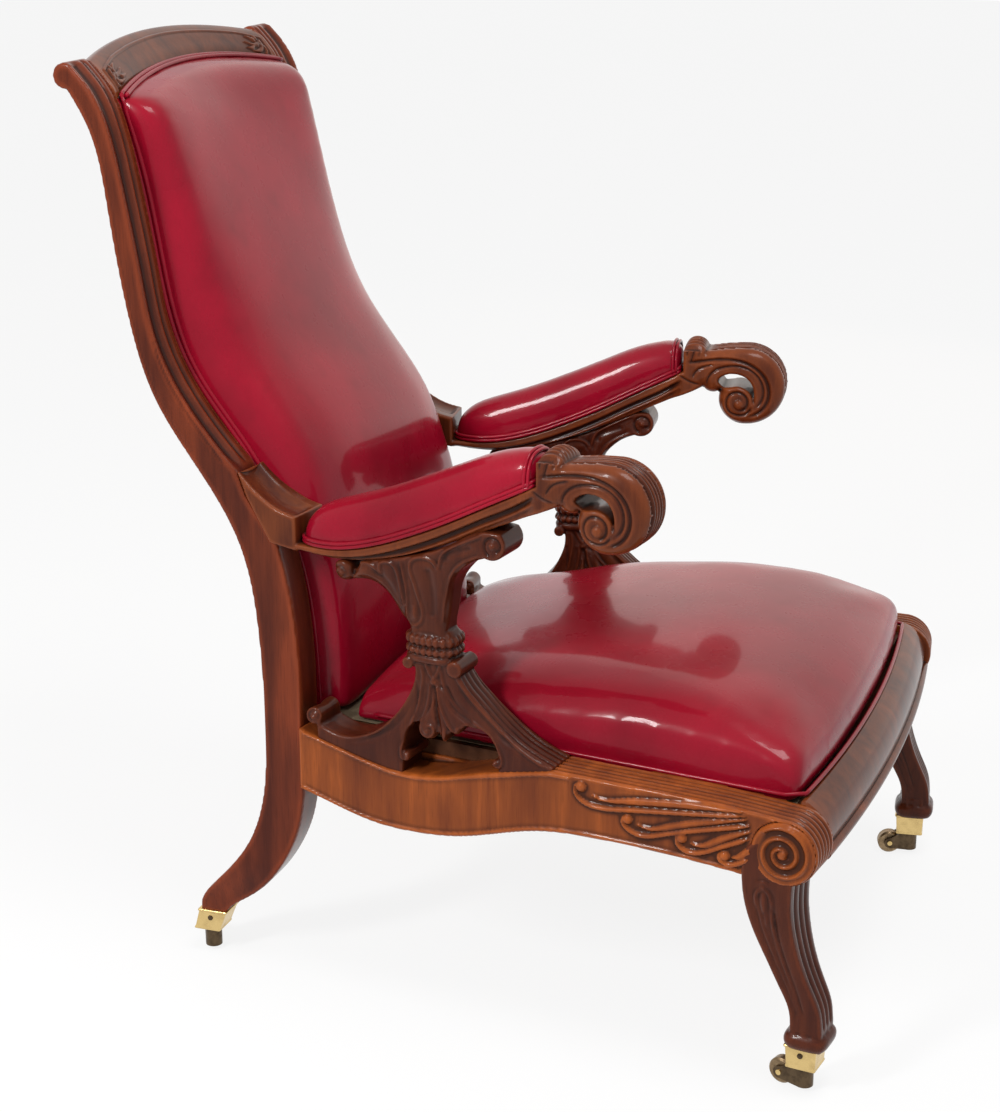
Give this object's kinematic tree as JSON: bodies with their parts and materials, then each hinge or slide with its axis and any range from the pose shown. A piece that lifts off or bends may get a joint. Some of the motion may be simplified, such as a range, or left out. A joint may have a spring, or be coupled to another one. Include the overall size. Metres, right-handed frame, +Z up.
{
  "type": "library armchair",
  "caption": "Library armchair of about 1830: mahogany frame with scrolled arms and sabre back legs, leather seat, back and arm pads, and swivelling brass castors.",
  "frame": {"origin": "on the floor, below the centre of the bounding box", "axes": "+Z up, the sitter looks along -Y, the sitter's right hand is on the -X side"},
  "size_m": [0.6744, 0.893, 1.0141],
  "materials": {
    "mahogany": "french polished",
    "beech": "bare",
    "crimson_leather": "polished",
    "flax": "woven",
    "brass": "worn polish",
    "screw_brass": "dull",
    "wheel_brass": "dark"
  },
  "bodies": {
    "chair": {"upright_right": "mahogany", "upright_left": "mahogany", "arm_right": "mahogany", "arm_left": "mahogany", "arm_support_right": "mahogany", "arm_support_left": "mahogany", "side_rail_right": "mahogany", "side_rail_left": "mahogany", "front_leg_right": "mahogany", "front_leg_left": "mahogany", "front_rail": "mahogany", "crest_rail": "mahogany", "rear_seat_rail": "beech", "lower_back_rail": "beech", "slip_seat_frame": "beech", "corner_blocks": "beech", "arm_pad_right": "crimson_leather", "arm_pad_left": "crimson_leather", "back_cushion": "crimson_leather", "seat_cushion": "crimson_leather", "back_cover": "crimson_leather", "back_webbing": "flax", "seat_webbing": "flax", "seat_hessian": "flax", "castor_screws": "screw_brass", "castor_cup_front_right": "brass", "castor_cup_front_left": "brass", "castor_cup_rear_right": "brass", "castor_cup_rear_left": "brass"},
    "horn_front_right": {"castor_horn_front_right": "brass", "castor_pivot_front_right": "brass", "castor_axle_front_right": "brass"},
    "wheel_front_right": {"castor_wheel_front_right": "wheel_brass"},
    "horn_front_left": {"castor_horn_front_left": "brass", "castor_pivot_front_left": "brass", "castor_axle_front_left": "brass"},
    "wheel_front_left": {"castor_wheel_front_left": "wheel_brass"},
    "horn_rear_right": {"castor_horn_rear_right": "brass", "castor_pivot_rear_right": "brass", "castor_axle_rear_right": "brass"},
    "wheel_rear_right": {"castor_wheel_rear_right": "wheel_brass"},
    "horn_rear_left": {"castor_horn_rear_left": "brass", "castor_pivot_rear_left": "brass", "castor_axle_rear_left": "brass"},
    "wheel_rear_left": {"castor_wheel_rear_left": "wheel_brass"}
  },
  "joints": [
    {"name": "swivel_front_right", "type": "hinge", "parent": "chair", "child": "horn_front_right", "pos_m": [-0.30351, -0.416, 0.031], "axis": [0, 0, 1], "continuous": true},
    {"name": "roll_front_right", "type": "hinge", "parent": "horn_front_right", "child": "wheel_front_right", "pos_m": [-0.29579, -0.39222, 0.014], "axis": [0.9511, -0.309, 0], "continuous": true},
    {"name": "swivel_front_left", "type": "hinge", "parent": "chair", "child": "horn_front_left", "pos_m": [0.30351, -0.416, 0.031], "axis": [0, 0, 1], "continuous": true},
    {"name": "roll_front_left", "type": "hinge", "parent": "horn_front_left", "child": "wheel_front_left", "pos_m": [0.29579, -0.39222, 0.014], "axis": [0.9511, 0.309, 0], "continuous": true},
    {"name": "swivel_rear_right", "type": "hinge", "parent": "chair", "child": "horn_rear_right", "pos_m": [-0.2225, 0.292, 0.031], "axis": [0, 0, 1], "continuous": true},
    {"name": "roll_rear_right", "type": "hinge", "parent": "horn_rear_right", "child": "wheel_rear_right", "pos_m": [-0.20043, 0.30374, 0.014], "axis": [0.4695, -0.8829, 0], "continuous": true},
    {"name": "swivel_rear_left", "type": "hinge", "parent": "chair", "child": "horn_rear_left", "pos_m": [0.2225, 0.292, 0.031], "axis": [0, 0, 1], "continuous": true},
    {"name": "roll_rear_left", "type": "hinge", "parent": "horn_rear_left", "child": "wheel_rear_left", "pos_m": [0.20043, 0.30374, 0.014], "axis": [0.4695, 0.8829, 0], "continuous": true}
  ]
}
